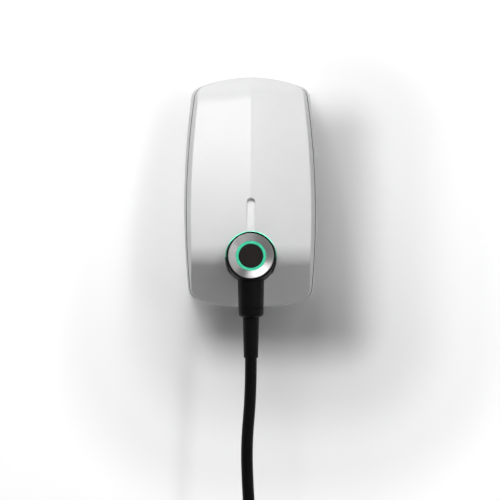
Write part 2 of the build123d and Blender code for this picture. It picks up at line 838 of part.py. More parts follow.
# Bezel ring: turned metal, dished towards the light ring
with BuildPart() as bezel_ring:
    with BuildSketch(Plane(origin=head_plane.origin, x_dir=head_plane.x_dir, z_dir=-head_plane.y_dir)):
        with BuildLine():
            Polyline(
                (light_ring_outer + head_fit, -bezel_thickness),
                (bezel_radius, -bezel_thickness),
                (bezel_radius, -rim_below_face),
                (bezel_radius - rim_below_face, 0),
                (light_ring_outer + head_fit, -bezel_dish),
                close=True,
            )
        make_face()
    revolve(axis=Axis(head_plane.origin, head_plane.z_dir))
finish(bezel_ring.part, "bezel_ring")

with BuildPart() as light_ring:
    with BuildSketch(head_plane.offset(-light_ring_below_face - light_ring_height)):
        Circle(light_ring_outer)
        Circle(light_ring_inner, mode=Mode.SUBTRACT)
    extrude(amount=light_ring_height)
    fillet(light_ring.edges().group_by(head_axis)[-1], rim_below_face)
finish(light_ring.part, "light_ring")

with BuildPart() as light_ring_board:
    with BuildSketch(head_plane.offset(-light_ring_below_face - light_ring_height - board_thickness)):
        Circle(light_ring_outer)
        Circle(light_ring_inner, mode=Mode.SUBTRACT)
    extrude(amount=board_thickness)
finish(light_ring_board.part, "light_ring_board")

with BuildPart() as centre_disc:
    with BuildSketch(head_plane.offset(-disc_below_face - disc_thickness)):
        Circle(disc_radius)
    extrude(amount=disc_thickness)
    fillet(centre_disc.edges().group_by(head_axis)[-1], rim_below_face)
finish(centre_disc.part, "centre_disc")

with BuildPart() as reader_coil:
    with BuildSketch(head_plane.offset(-disc_below_face - disc_thickness - board_thickness)):
        Circle(disc_radius - fit_clearance)
        Circle(lock_screw_head_radius + fit_clearance, mode=Mode.SUBTRACT)
    extrude(amount=board_thickness)
finish(reader_coil.part, "reader_coil")

# Gland collar and bend sleeve, turned about the sleeve's upright axis
sleeve_axis = Axis((0, -sleeve_depth, 0), (0, 0, 1))
sleeve_section = Plane(origin=(0, -sleeve_depth, 0), x_dir=(1, 0, 0), z_dir=(0, -1, 0))
collar_low_z = sleeve_low_z - collar_height
bend_low_z = collar_low_z - bend_length
with BuildPart() as gland_collar:
    with BuildSketch(sleeve_section) as collar_face:
        with BuildLine():
            Polyline(
                (bend_root_radius + head_fit, sleeve_low_z),
                (bend_root_radius + head_fit, collar_low_z),
                (sleeve_low_radius, collar_low_z),
                (sleeve_low_radius, sleeve_low_z),
                close=True,
            )
        make_face()
        fillet(collar_face.vertices().sort_by_distance((sleeve_low_radius, collar_low_z))[0], collar_round)
        chamfer(collar_face.vertices().sort_by_distance((sleeve_low_radius, sleeve_low_z))[0], seam_chamfer)
    revolve(axis=sleeve_axis)
finish(gland_collar.part, "gland_collar")

with BuildPart() as bend_sleeve:
    with BuildSketch(sleeve_section) as bend_face:
        with BuildLine():
            Polyline(
                (0, sleeve_low_z),
                (bend_root_radius, sleeve_low_z),
                (bend_root_radius, collar_low_z),
                (bend_top_radius, collar_low_z),
                (bend_low_radius, bend_low_z),
                (0, bend_low_z),
                close=True,
            )
        make_face()
        chamfer(bend_face.vertices().sort_by_distance((bend_low_radius, bend_low_z))[0], seam_chamfer)
    revolve(axis=sleeve_axis)
finish(bend_sleeve.part, "bend_sleeve")

# Contact socket in the cup's floor, its contact sleeves and the wires to the power board
with BuildPart() as contact_socket:
    with BuildSketch(head_plane.offset(-socket_back)):
        with Locations((0, contact_centre_up)):
            Circle(socket_radius)
    extrude(amount=socket_length)
    with BuildSketch(head_plane.offset(-led_board_front - socket_flange)):
        with Locations((0, contact_centre_up)):
            Circle(socket_flange_radius)
    extrude(amount=socket_flange)
    sleeve_faces = contact_faces(-socket_back, contact_sleeve_wall + head_fit)
    extrude(sleeve_faces, amount=socket_length, mode=Mode.SUBTRACT)
    with BuildSketch(head_plane.offset(-socket_back)):
        Circle(lock_screw_radius + screw_fit)
    extrude(amount=socket_length, mode=Mode.SUBTRACT)
finish(contact_socket.part, "contact_socket")

with BuildPart() as socket_contacts:
    sleeve_reach = socket_length + contact_tail - contact_recess
    extrude(contact_faces(-socket_back - contact_tail, contact_sleeve_wall), amount=sleeve_reach)
    pin_bottom = head_height + pin_engagement + fit_clearance
    extrude(contact_faces(-pin_bottom, head_fit), amount=socket_length, mode=Mode.SUBTRACT)
finish(socket_contacts.part, "socket_contacts")

output_z = power_board_z - power_board_height / 2 + output_height
with BuildPart() as output_terminals:
    with BuildSketch(front_plane(power_front)):
        with Locations((0, output_z)):
            RectangleRounded(terminal_width, output_height, block_corner)
    extrude(amount=output_depth)
finish(output_terminals.part, "output_terminals")

wire_angles = [contact_start + contact_arc * (1 - i / (pole_count - 1)) for i in range(pole_count)]
with BuildPart() as socket_wires:
    for pole_x, angle in zip(pole_xs, wire_angles):
        spot = Vector(contact_ring_radius, 0).rotate(Axis.Z, angle) + Vector(0, contact_centre_up)
        start = head_plane.from_local_coords(spot - Vector(0, 0, socket_back + contact_tail))
        end = Vector(pole_x, -power_front - output_depth, output_z)
        bend_in = start - head_plane.z_dir * wire_straight
        bend_out = end - Vector(0, wire_straight, 0)
        with BuildLine() as wire_path:
            FilletPolyline(start, bend_in, bend_out, end, radius=wire_straight)
        with BuildSketch(Plane(origin=start, z_dir=-head_plane.z_dir)):
            Circle(dock_wire_radius)
        sweep(path=wire_path.line)
finish(socket_wires.part, "socket_wires")

# Power board with its relays, meter, fault current sensor, transformer and capacitors
with BuildPart() as power_board:
    with BuildSketch(front_plane(power_board_depth)):
        with Locations((0, power_board_z)):
            RectangleRounded(power_board_width, power_board_height, wall)
        with Locations(power_holes):
            Circle(board_screw_radius + fit_clearance, mode=Mode.SUBTRACT)
    extrude(amount=board_thickness)
finish(power_board.part, "power_board")


def component(width, height, depth, base_depth, places, corner):
    """Moulded blocks that stand on a board, one at each place."""
    with BuildPart() as block:
        with BuildSketch(front_plane(base_depth)):
            with Locations(places):
                RectangleRounded(width, height, corner)
        extrude(amount=depth)
        chamfer(block.faces().group_by(Axis.Y)[0].edges(), corner / 2)
    return block.part


relay_places = [(-relay_width / 2 - component_gap, relay_z), (relay_width / 2 + component_gap, relay_z)]
finish(component(relay_width, relay_height, relay_depth, power_front, relay_places, block_corner), "relays")

meter_places = [(-meter_width / 2 - component_gap, meter_z)]
finish(component(meter_width, meter_height, meter_depth, power_front, meter_places, block_corner),
       "energy_meter")

transformer_places = [(-transformer_width / 2 - component_gap, transformer_z)]
finish(component(transformer_width, transformer_height, transformer_depth, power_front, transformer_places,
                 block_corner),
       "transformer")

with BuildPart() as leakage_sensor:
    with BuildSketch(front_plane(power_front)):
        with Locations((sensor_radius + component_gap, meter_z)):
            Circle(sensor_radius)
            Circle(sensor_bore, mode=Mode.SUBTRACT)
    extrude(amount=sensor_depth)
    fillet(leakage_sensor.edges().group_by(Axis.Y)[0], block_corner)
finish(leakage_sensor.part, "leakage_sensor")

with BuildPart() as capacitors:
    with BuildSketch(front_plane(power_front)):
        with Locations((capacitor_radius + component_gap, transformer_z),
                       (3 * capacitor_radius + 2 * component_gap, transformer_z)):
            Circle(capacitor_radius)
    extrude(amount=capacitor_height)
    fillet(capacitors.edges().group_by(Axis.Y)[0], block_corner)
finish(capacitors.part, "capacitors")

# Control board on hexagon spacers, with its chips, radio module and aerial
with BuildPart() as board_spacers:
    with BuildSketch(front_plane(power_front)):
        with Locations(spacer_places):
            RegularPolygon(spacer_radius, 6)
    extrude(amount=control_board_depth - power_front)
    with BuildSketch(front_plane(control_board_depth)):
        with Locations(spacer_places):
            Circle(board_screw_radius + screw_fit)
    extrude(amount=-board_screw_length, mode=Mode.SUBTRACT)
finish(board_spacers.part, "board_spacers")

with BuildPart() as control_board:
    with BuildSketch(front_plane(control_board_depth)):
        with Locations((0, control_board_z)):
            RectangleRounded(control_board_width, control_board_height, wall)
        with Locations(spacer_places):
            Circle(board_screw_radius + fit_clearance, mode=Mode.SUBTRACT)
    extrude(amount=board_thickness)
finish(control_board.part, "control_board")

finish(component(chip_size, chip_size, chip_height, control_front, chip_places, chip_corner), "control_chips")
finish(component(radio_width, radio_height, radio_depth, control_front, [radio_place], chip_corner),
       "radio_module")
finish(component(antenna_width, antenna_height, antenna_depth, control_front, [antenna_place], chip_corner),
       "antenna")

with BuildPart() as ribbon_cable:
    with BuildSketch(front_plane(power_front)):
        with Locations((0, meter_z)):
            Rectangle(ribbon_thickness, ribbon_width)
    extrude(amount=control_board_depth - power_front)
finish(ribbon_cable.part, "ribbon_cable")


# Screws: a turned head on a shank, one set for each plane and place
def screws(head_plane_at, places, head_radius, head_height_at, shank_radius, shank_length):
    """Pan-head screws whose heads stand on a plane and whose shanks go through it."""
    with BuildPart() as screw_set:
        with BuildSketch(head_plane_at):
            with Locations(places):
                Circle(head_radius)
        extrude(amount=head_height_at)
        with BuildSketch(head_plane_at.offset(head_height_at)):
            with Locations(places):
                RegularPolygon(shank_radius, 6)
        extrude(amount=-head_height_at / 2, mode=Mode.SUBTRACT)
        with BuildSketch(head_plane_at):
            with Locations(places):
                Circle(shank_radius)
        extrude(amount=-shank_length)
    return screw_set.part


with BuildPart() as board_screws:
    for board_front, places in ((power_front, power_holes), (control_front, spacer_places)):
        add(screws(front_plane(board_front), places, board_screw_head_radius, board_screw_head,
                   board_screw_radius, board_screw_length))
finish(board_screws.part, "board_screws")

wall_facing = Plane(origin=(0, -housing_seat, 0), x_dir=(1, 0, 0), z_dir=(0, 1, 0))
finish(screws(wall_facing, [(x, -z) for x, z in housing_screw_places], housing_head_radius, housing_head,
              housing_screw_radius, boss_start - housing_seat + housing_screw_grip), "housing_screws")

floor_facing = Plane(origin=(0, 0, lock_seat_z), x_dir=(1, 0, 0), z_dir=(0, 0, -1))
lock_places = [(x, station_lock_depth) for x in (-lock_screw_x, lock_screw_x)]
finish(screws(floor_facing, lock_places, station_lock_head_radius, station_lock_head,
              station_lock_radius, station_lock_length), "lock_screws")

# Spare cable in a round coil, and the free runs into and out of it
coil_centre = Vector(0, -coil_depth, coil_z)
coil_axis = Axis(coil_centre, (0, 1, 0))


def coil_section(angle):
    """Plane across the coil at an angle from three o'clock, with X pointing outwards and Y along the axis."""
    turn = math.radians(angle)
    return Plane(
        origin=coil_centre,
        x_dir=(math.cos(turn), 0, math.sin(turn)),
        z_dir=(-math.sin(turn), 0, math.cos(turn)),
    )


with BuildPart() as cable_coil:
    with BuildSketch(front_plane(coil_depth - coil_bundle / 2)):
        with Locations((0, coil_z)):
            Circle(coil_radius + coil_bundle / 2)
            Circle(coil_radius - coil_bundle / 2, mode=Mode.SUBTRACT)
    extrude(amount=coil_bundle)
    fillet(cable_coil.edges().filter_by(GeomType.CIRCLE), cable_diameter / 2)
finish(cable_coil.part, "cable_coil")

strap_inside = coil_bundle + 2 * strap_clearance
strap_outside = strap_inside + 2 * strap_thickness
with BuildPart() as coil_straps:
    for strap_angle in strap_angles:
        with BuildSketch(coil_section(strap_angle)):
            with Locations((coil_radius, 0)):
                RectangleRounded(strap_outside, strap_outside, cable_diameter / 2 + strap_thickness)
                RectangleRounded(strap_inside, strap_inside, cable_diameter / 2, mode=Mode.SUBTRACT)
        revolve(axis=coil_axis, revolution_arc=strap_arc)
finish(coil_straps.part, "coil_straps")


def cable_run(route, label):
    """Tube along a route, with each bend as large as its runs allow, cut off where it joins the coil."""
    points = [Vector(x, -depth, z) for x, depth, z in route]
    runs = [after - before for before, after in zip(points, points[1:])]
    radii = [
        bend_share * min(first.length, second.length) / math.tan(math.radians(first.get_angle(second)) / 2)
        for first, second in zip(runs, runs[1:])
    ]
    with BuildPart() as tube:
        with BuildLine() as path:
            FilletPolyline(*points, radius=radii)
        with BuildSketch(Plane(origin=points[0], z_dir=runs[0])):
            Circle(cable_diameter / 2)
        sweep(path=path.line)
    length = path.wires()[0].length
    ratio = tube.part.volume / (length * math.pi * cable_diameter**2 / 4)
    print(label, "radii", [round(r) for r in radii], "length", round(length), "volume ratio", round(ratio, 4))
    with BuildPart() as clear_tube:
        add(tube.part)
        add(cable_coil.part, mode=Mode.SUBTRACT)
    return Part() + clear_tube.solids().sort_by(SortBy.VOLUME)[-1]


finish(cable_run(lead_route, "charging_cable"), "charging_cable")
finish(cable_run(tail_route, "cable_tail"), "cable_tail")

# Vehicle connector: bend boot, grip, collar with its contact insert, and a push-on cap
end_x, end_depth, end_z = tail_route[-1]
grip_top_z = end_z - boot_length
grip_low_z = grip_top_z - grip_length
nose_low_z = grip_low_z - nose_length
insert_low_z = nose_low_z + insert_recess
connector_axis = Axis((end_x, -end_depth, 0), (0, 0, 1))


def connector_plane(z):
    """Horizontal plane centred on the connector's axis."""
    return Plane(origin=(end_x, -end_depth, z), x_dir=(1, 0, 0), z_dir=(0, 0, 1))


connector_section = Plane(origin=(end_x, -end_depth, 0), x_dir=(1, 0, 0), z_dir=(0, -1, 0))
with BuildPart() as connector_boot:
    with BuildSketch(connector_section):
        with BuildLine():
            Polyline(
                (0, end_z),
                (boot_top_radius, end_z),
                (boot_low_radius, grip_top_z),
                (0, grip_top_z),
                close=True,
            )
        make_face()
    revolve(axis=connector_axis)
    with BuildSketch(connector_section):
        for i in range(boot_ring_count):
            down = boot_length / 2 + boot_ring_pitch * (i - (boot_ring_count - 1) / 2)
            radius = boot_top_radius + (boot_low_radius - boot_top_radius) * down / boot_length
            with Locations((radius, end_z - down)):
                Circle(boot_ring_depth)
    revolve(axis=connector_axis, mode=Mode.SUBTRACT)
finish(connector_boot.part, "connector_boot")

with BuildPart() as connector_grip:
    with BuildSketch(connector_plane(grip_top_z)):
        Ellipse(grip_top_radius, grip_top_radius * grip_depth / grip_width)
    with BuildSketch(connector_plane(grip_top_z - grip_waist_down)):
        Ellipse(grip_waist_width / 2, grip_waist_depth / 2)
    with BuildSketch(connector_plane(grip_top_z - grip_full_down)):
        Ellipse(grip_width / 2, grip_depth / 2)
    with BuildSketch(connector_plane(grip_low_z)):
        Ellipse(grip_width / 2, grip_depth / 2)
    loft()
finish(connector_grip.part, "connector_grip")


def nose_outline(z, grow):
    """Round face of the nose at a height, with its flat towards the front, grown by an allowance."""
    radius = nose_radius + grow
    with BuildSketch(connector_plane(z)) as outline:
        Circle(radius)
        with Locations((0, -nose_flat - grow - radius)):
            Rectangle(2 * radius, 2 * radius, mode=Mode.SUBTRACT)
    return outline.sketch


with BuildPart() as connector_nose:
    extrude(nose_outline(nose_low_z, 0.0), amount=nose_length)
    extrude(nose_outline(nose_low_z, -nose_wall), amount=nose_cavity, mode=Mode.SUBTRACT)
finish(connector_nose.part, "connector_nose")


def vehicle_contacts(z, radius):
    """Faces of the contacts at a height: the earth in the centre and a ring round it."""
    with BuildSketch(connector_plane(z)) as layout:
        Circle(radius)
        with PolarLocations(vehicle_ring_radius, vehicle_ring_count):
            Circle(radius)
    return layout.sketch


insert_length = nose_low_z + nose_cavity - insert_low_z
contact_z = insert_low_z + insert_recess
contact_length = vehicle_contact_depth - insert_recess
with BuildPart() as connector_insert:
    extrude(nose_outline(insert_low_z, insert_radius - nose_radius), amount=insert_length)
    hole_faces = vehicle_contacts(insert_low_z, vehicle_contact_radius + head_fit)
    extrude(hole_faces, amount=vehicle_contact_depth, mode=Mode.SUBTRACT)
finish(connector_insert.part, "connector_insert")

with BuildPart() as connector_contacts:
    extrude(vehicle_contacts(contact_z, vehicle_contact_radius), amount=contact_length)
    extrude(vehicle_contacts(contact_z, vehicle_contact_bore), amount=contact_length, mode=Mode.SUBTRACT)
finish(connector_contacts.part, "connector_contacts")

cap_low_z = nose_low_z - fit_clearance - cap_wall
cap_bead_z = cap_low_z + cap_length - cap_bead
with BuildPart() as connector_cap:
    extrude(nose_outline(cap_low_z, fit_clearance + cap_wall), amount=cap_length)
    extrude(nose_outline(cap_bead_z, fit_clearance + cap_wall + cap_bead), amount=cap_bead)
    extrude(nose_outline(cap_low_z + cap_wall, fit_clearance), amount=cap_length, mode=Mode.SUBTRACT)
    chamfer(connector_cap.faces().sort_by(Axis.Z)[0].edges(), cap_wall / 2)
finish(connector_cap.part, "connector_cap")
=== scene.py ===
import json
import math

import bmesh
import bpy
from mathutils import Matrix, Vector


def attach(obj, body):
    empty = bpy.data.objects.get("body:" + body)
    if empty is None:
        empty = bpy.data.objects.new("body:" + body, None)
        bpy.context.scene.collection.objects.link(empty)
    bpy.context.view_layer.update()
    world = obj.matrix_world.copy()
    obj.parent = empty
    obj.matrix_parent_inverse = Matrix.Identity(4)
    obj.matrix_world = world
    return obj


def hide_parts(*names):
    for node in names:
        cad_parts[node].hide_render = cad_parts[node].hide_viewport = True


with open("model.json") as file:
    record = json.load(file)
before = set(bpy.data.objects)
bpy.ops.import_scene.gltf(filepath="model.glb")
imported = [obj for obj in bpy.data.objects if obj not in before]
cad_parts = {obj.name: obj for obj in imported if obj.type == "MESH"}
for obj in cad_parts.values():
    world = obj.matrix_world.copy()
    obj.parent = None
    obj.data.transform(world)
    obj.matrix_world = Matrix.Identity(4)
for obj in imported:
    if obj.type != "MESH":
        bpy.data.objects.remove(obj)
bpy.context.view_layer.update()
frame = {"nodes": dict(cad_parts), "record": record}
nodes = frame["nodes"]
scene = bpy.context.scene

# All lengths are metres. Seen from the front, X is to the right and Z is up. The wall is at Y = 0.

# Camera: level, in front of the wall, with the photograph's field of view
IMAGE_PIXELS = 500
FOCAL_PIXELS = 1334
SENSOR_MM = 36
CAMERA_PLACE = (-0.0012, -1.9, -0.082)

# Stage: a floor, and a wall just behind the object that is clear to rays shorter than the contact length
WALL_GAP = 0.0008
CONTACT_LENGTH = 0.004
FLOOR_Z = -1.1
STAGE_WIDTH = 9.0
STAGE_HEIGHT = 7.0
STAGE_DEPTH = 7.0
STAGE_COLOUR = (0.8, 0.8, 0.805)
FLOOR_GLOW = 0.28

# Painted light on the wall, where it is seen: none inside a box round the object's shadow given by centre and
# half sizes, then steps of (share of the reach, strength)
SHADE_CENTRE = (0.0475, 0.0, -0.055)
SHADE_HALF = (0.0775, 1.0, 0.135)
PAINTED_LIGHT_REACH = 0.3
PAINTED_LIGHT_STEPS = ((0.0, 0.0), (0.28, 0.33), (0.63, 0.5), (1.0, 0.66))

# Lamps look at a point inside the housing. The world is brighter where it is seen than where it lights.
LAMP_AIM = (0.0, -0.05, -0.08)
WORLD_LIGHT = 0.02
WORLD_SEEN = 0.22

# Plug head: its centre, the dish of the bezel's lathe-cut face as rise per run, and the ring's light
HEAD_CENTRE = (0.0, -0.158, -0.0893)
BEZEL_DISH = 0.24
RING_GLOW = 0.38

# Glow guide: its light sets in over a range of distance from the head's centre, and changes with the height
GUIDE_RADIUS_RANGE = (0.024, 0.030)
GUIDE_HEIGHT_RANGE = (-0.076, -0.0565)
GUIDE_GLOW = (-0.33, 9.0)

# Textures: scales in cycles per metre, heights, and the two values of a noise that are taken as its ends
NOISE_ENDS = (0.3, 0.7)
CLOUD_SCALE = 28.0
DIFFUSER_SCALE = 160.0
LATHE_SCALE = 3200.0
DRAWN_STRETCH = (1, 1, 0.08)
TRACK_SCALE = 90.0
TRACK_HEIGHT = 0.00004
LACQUER_SCALE = 300.0
RIB_SCALE = 330.0
RIB_HEIGHT = 0.0003

# Moulded finishes: two colours, range of roughness, grain in cycles per metre, its depth, specular level
MOULDED = {
    "white_shell": ((0.86, 0.86, 0.865), (0.88, 0.88, 0.885), (0.34, 0.42), 2600, 0.000012, 0.5),
    "black_plastic": ((0.003, 0.003, 0.0032), (0.006, 0.006, 0.0064), (0.36, 0.46), 2400, 0.00002, 0.1),
    "black_gloss": ((0.011, 0.008, 0.0072), (0.017, 0.013, 0.0115), (0.36, 0.46), 1500, 0.000008, 0.15),
    "soft_rubber": ((0.003, 0.003, 0.0032), (0.006, 0.006, 0.0062), (0.4, 0.52), 1800, 0.00004, 0.1),
    "cable_jacket": ((0.003, 0.003, 0.0032), (0.006, 0.006, 0.0062), (0.38, 0.5), 900, 0.00005, 0.1),
    "dock_plastic": ((0.085, 0.085, 0.088), (0.105, 0.105, 0.11), (0.5, 0.62), 1400, 0.00005, 0.5),
    "module_black": ((0.012, 0.012, 0.014), (0.02, 0.02, 0.022), (0.45, 0.6), 1600, 0.00003, 0.5),
    "module_grey": ((0.36, 0.37, 0.38), (0.44, 0.45, 0.46), (0.4, 0.55), 1500, 0.00003, 0.5),
    "sensor_blue": ((0.03, 0.08, 0.22), (0.05, 0.11, 0.28), (0.4, 0.5), 1500, 0.00002, 0.5),
    "wire_cover": ((0.22, 0.07, 0.04), (0.28, 0.1, 0.05), (0.35, 0.5), 1200, 0.00003, 0.5),
    "led_lens": ((0.85, 0.87, 0.75), (0.92, 0.94, 0.84), (0.15, 0.25), 1500, 0.00001, 0.5),
}

# Drawn or plated metals: two colours, range of roughness, marks in cycles per metre, their depth
DRAWN = {
    "contact_brass": ((0.72, 0.65, 0.48), (0.8, 0.74, 0.58), (0.18, 0.3), 700, 0.00001),
    "screw_steel": ((0.5, 0.5, 0.51), (0.62, 0.62, 0.63), (0.28, 0.4), 900, 0.00002),
    "can_metal": ((0.6, 0.6, 0.62), (0.7, 0.7, 0.72), (0.25, 0.36), 600, 0.00001),
}

# Charging cable: routes as (x, depth, z), depth measured from the wall towards the front
CABLE_DIAMETER = 0.0156
CABLE_ROUND_STEPS = 5
CABLE_LINE_STEPS = 8
LEAD_ROUTE = [
    (0.0, 0.1425, -0.224),
    (0.0, 0.1425, -0.272),
    (-0.006, 0.143, -0.338),
    (-0.004, 0.145, -0.398),
    (-0.001, 0.1465, -0.438),
    (0.0195, 0.1475, -0.482),
    (0.052, 0.1475, -0.508),
    (0.071, 0.1425, -0.540),
]
TAIL_ROUTE = [
    (0.012, 0.0964, -0.4724),
    (0.042, 0.0966, -0.4724),
    (0.080, 0.0973, -0.4724),
    (0.112, 0.0995, -0.491),
    (0.131, 0.102, -0.524),
    (0.131, 0.103, -0.561),
    (0.131, 0.103, -0.583),
]

# Coil of the spare cable: wound clockwise from an angle after twelve o'clock, in degrees, on nine tracks of a
# square bundle. A track is (outward, forward) in cable diameters.
COIL_DEPTH = 0.112
COIL_Z = -0.578
COIL_RADIUS = 0.090
COIL_BUNDLE = 0.0468
COIL_START = 84.0
COIL_TURNS = 8
COIL_POINTS_PER_TURN = 16
COIL_TRACKS = ((-1, 1), (0, 1), (1, 1), (1, 0), (0, 0), (-1, 0), (-1, -1), (0, -1), (1, -1))

# Arc in degrees from one track to the next, and the arc and depth over which the lead sinks into the coil
TRACK_CHANGE = 112.0
SINK_ARC = 26.0
SINK_DEPTH = 0.007

# Straps round the coil: angles counted from three o'clock against the clock
STRAP_ANGLES = (-23.5, 112.5, 226.5)
STRAP_WIDTH = 0.0165
STRAP_THICKNESS = 0.002
STRAP_EDGE = STRAP_THICKNESS / 4
STRAP_GAP = 0.0002
STRAP_OVERLAP = 0.032
STRAP_RISE = STRAP_OVERLAP / 4
STRAP_STEPS = 120


def link(obj):
    """Put a new object in the scene."""
    scene.collection.objects.link(obj)
    return obj


# Materials

def new_material(name):
    """Node material with its shader and the object's own coordinates."""
    made = bpy.data.materials.new(name)
    made.use_nodes = True
    tree = made.node_tree
    shader = tree.nodes["Principled BSDF"]
    place = tree.nodes.new("ShaderNodeTexCoord").outputs["Object"]
    return made, tree, shader, place


def noise(tree, place, scale, detail=3.0, stretch=(1, 1, 1)):
    """Noise at a scale in cycles per metre, stretched along the axes."""
    mapping = tree.nodes.new("ShaderNodeMapping")
    mapping.inputs["Scale"].default_value = stretch
    tree.links.new(place, mapping.inputs["Vector"])
    texture = tree.nodes.new("ShaderNodeTexNoise")
    texture.inputs["Scale"].default_value = scale
    texture.inputs["Detail"].default_value = detail
    tree.links.new(mapping.outputs["Vector"], texture.inputs["Vector"])
    return texture.outputs["Fac"]


def calculated(tree, operation, first, second):
    """Result of a calculation with a value and a second value or number."""
    node = tree.nodes.new("ShaderNodeMath")
    node.operation = operation
    tree.links.new(first, node.inputs[0])
    if isinstance(second, float):
        node.inputs[1].default_value = second
    else:
        tree.links.new(second, node.inputs[1])
    return node.outputs["Value"]


def ranged(tree, value, source, target):
    """Map a value from one range to another, and hold it there."""
    node = tree.nodes.new("ShaderNodeMapRange")
    node.inputs["From Min"].default_value, node.inputs["From Max"].default_value = source
    node.inputs["To Min"].default_value, node.inputs["To Max"].default_value = target
    tree.links.new(value, node.inputs["Value"])
    return node.outputs["Result"]


def distance(tree, place, centre):
    """Distance from a point."""
    node = tree.nodes.new("ShaderNodeVectorMath")
    node.operation = "DISTANCE"
    node.inputs[1].default_value = centre
    tree.links.new(place, node.inputs[0])
    return node.outputs["Value"]


def between(tree, value, first, second):
    """Colour between two colours by a noise."""
    ramp = tree.nodes.new("ShaderNodeValToRGB")
    for element, position, colour in zip(ramp.color_ramp.elements, NOISE_ENDS, (first, second)):
        element.position = position
        element.color = (*colour, 1)
    tree.links.new(value, ramp.inputs["Fac"])
    return ramp.outputs["Color"]


def bump(tree, shader, height, depth):
    """Bump of a depth in metres on a shader."""
    node = tree.nodes.new("ShaderNodeBump")
    node.inputs["Distance"].default_value = depth
    tree.links.new(height, node.inputs["Height"])
    tree.links.new(node.outputs["Normal"], shader.inputs["Normal"])


def moulded(name, first, second, rough, grain, depth, specular):
    """Moulded plastic or rubber: faint cloudiness, uneven gloss and a fine grain."""
    made, tree, shader, place = new_material(name)
    cloud = noise(tree, place, CLOUD_SCALE)
    fine = noise(tree, place, grain, detail=2.0)
    tree.links.new(between(tree, cloud, first, second), shader.inputs["Base Color"])
    tree.links.new(ranged(tree, fine, NOISE_ENDS, rough), shader.inputs["Roughness"])
    shader.inputs["Specular IOR Level"].default_value = specular
    bump(tree, shader, fine, depth)
    return made


def drawn_metal(name, first, second, rough, grain, depth):
    """Metal with the faint marks of drawing or plating."""
    made, tree, shader, place = new_material(name)
    marks = noise(tree, place, grain, detail=4.0, stretch=DRAWN_STRETCH)
    tree.links.new(between(tree, marks, first, second), shader.inputs["Base Color"])
    tree.links.new(ranged(tree, marks, NOISE_ENDS, rough), shader.inputs["Roughness"])
    shader.inputs["Metallic"].default_value = 1.0
    bump(tree, shader, marks, depth)
    return made


def lit_diffuser(name, first, second):
    """Lit diffuser: slightly uneven light, the same all round the ring and brightest high up in the guide."""
    made, tree, shader, place = new_material(name)
    colour = between(tree, noise(tree, place, DIFFUSER_SCALE), first, second)
    tree.links.new(colour, shader.inputs["Emission Color"])
    tree.links.new(colour, shader.inputs["Base Color"])
    outside = ranged(tree, distance(tree, place, HEAD_CENTRE), GUIDE_RADIUS_RANGE, (0, 1))
    split = tree.nodes.new("ShaderNodeSeparateXYZ")
    tree.links.new(place, split.inputs["Vector"])
    guide = ranged(tree, split.outputs["Z"], GUIDE_HEIGHT_RANGE, GUIDE_GLOW)
    added = calculated(tree, "MULTIPLY", outside, guide)
    tree.links.new(calculated(tree, "ADD", added, RING_GLOW), shader.inputs["Emission Strength"])
    shader.inputs["Roughness"].default_value = 0.45
    shader.inputs["Specular IOR Level"].default_value = 0.2
    return made


def turned_metal(name, first, second, rough):
    """Turned metal: highlights fan out across fine circular grooves about the Y axis."""
    made, tree, shader, place = new_material(name)
    fine = noise(tree, place, LATHE_SCALE, detail=2.0)
    tree.links.new(between(tree, fine, first, second), shader.inputs["Base Color"])
    tree.links.new(ranged(tree, fine, NOISE_ENDS, rough), shader.inputs["Roughness"])
    shader.inputs["Metallic"].default_value = 1.0
    shader.inputs["Anisotropic"].default_value = 0.93
    shader.inputs["Anisotropic Rotation"].default_value = 0.25
    tangent = tree.nodes.new("ShaderNodeTangent")
    tangent.direction_type = "RADIAL"
    tangent.axis = "Y"
    tree.links.new(tangent.outputs["Tangent"], shader.inputs["Tangent"])
    bump(tree, shader, distance(tree, place, HEAD_CENTRE), BEZEL_DISH)
    return made


def circuit_board(name, rough):
    """Lacquered board with rows of copper tracks under the lacquer."""
    made, tree, shader, place = new_material(name)
    turn = tree.nodes.new("ShaderNodeMapping")
    turn.inputs["Rotation"].default_value = (math.radians(90), 0, 0)
    tree.links.new(place, turn.inputs["Vector"])
    tracks = tree.nodes.new("ShaderNodeTexBrick")
    tracks.inputs["Scale"].default_value = TRACK_SCALE
    tracks.inputs["Mortar Size"].default_value = 0.03
    tracks.inputs["Color1"].default_value = (0.012, 0.09, 0.045, 1)
    tracks.inputs["Color2"].default_value = (0.016, 0.11, 0.055, 1)
    tracks.inputs["Mortar"].default_value = (0.06, 0.2, 0.09, 1)
    tree.links.new(turn.outputs["Vector"], tracks.inputs["Vector"])
    tree.links.new(tracks.outputs["Color"], shader.inputs["Base Color"])
    lacquer = noise(tree, place, LACQUER_SCALE)
    tree.links.new(ranged(tree, lacquer, NOISE_ENDS, rough), shader.inputs["Roughness"])
    bump(tree, shader, tracks.outputs["Fac"], TRACK_HEIGHT)
    return made


def woven(name, first, second):
    """Woven webbing: two crossed rows of fine ribs."""
    made, tree, shader, place = new_material(name)
    rows = []
    for direction in ("X", "Z"):
        ribs = tree.nodes.new("ShaderNodeTexWave")
        ribs.bands_direction = direction
        ribs.inputs["Scale"].default_value = RIB_SCALE
        ribs.inputs["Distortion"].default_value = 0.6
        tree.links.new(place, ribs.inputs["Vector"])
        rows.append(ribs.outputs["Fac"])
    weave = calculated(tree, "MULTIPLY", *rows)
    tree.links.new(between(tree, weave, first, second), shader.inputs["Base Color"])
    shader.inputs["Roughness"].default_value = 0.85
    shader.inputs["Sheen Weight"].default_value = 0.3
    bump(tree, shader, weave, RIB_HEIGHT)
    return made


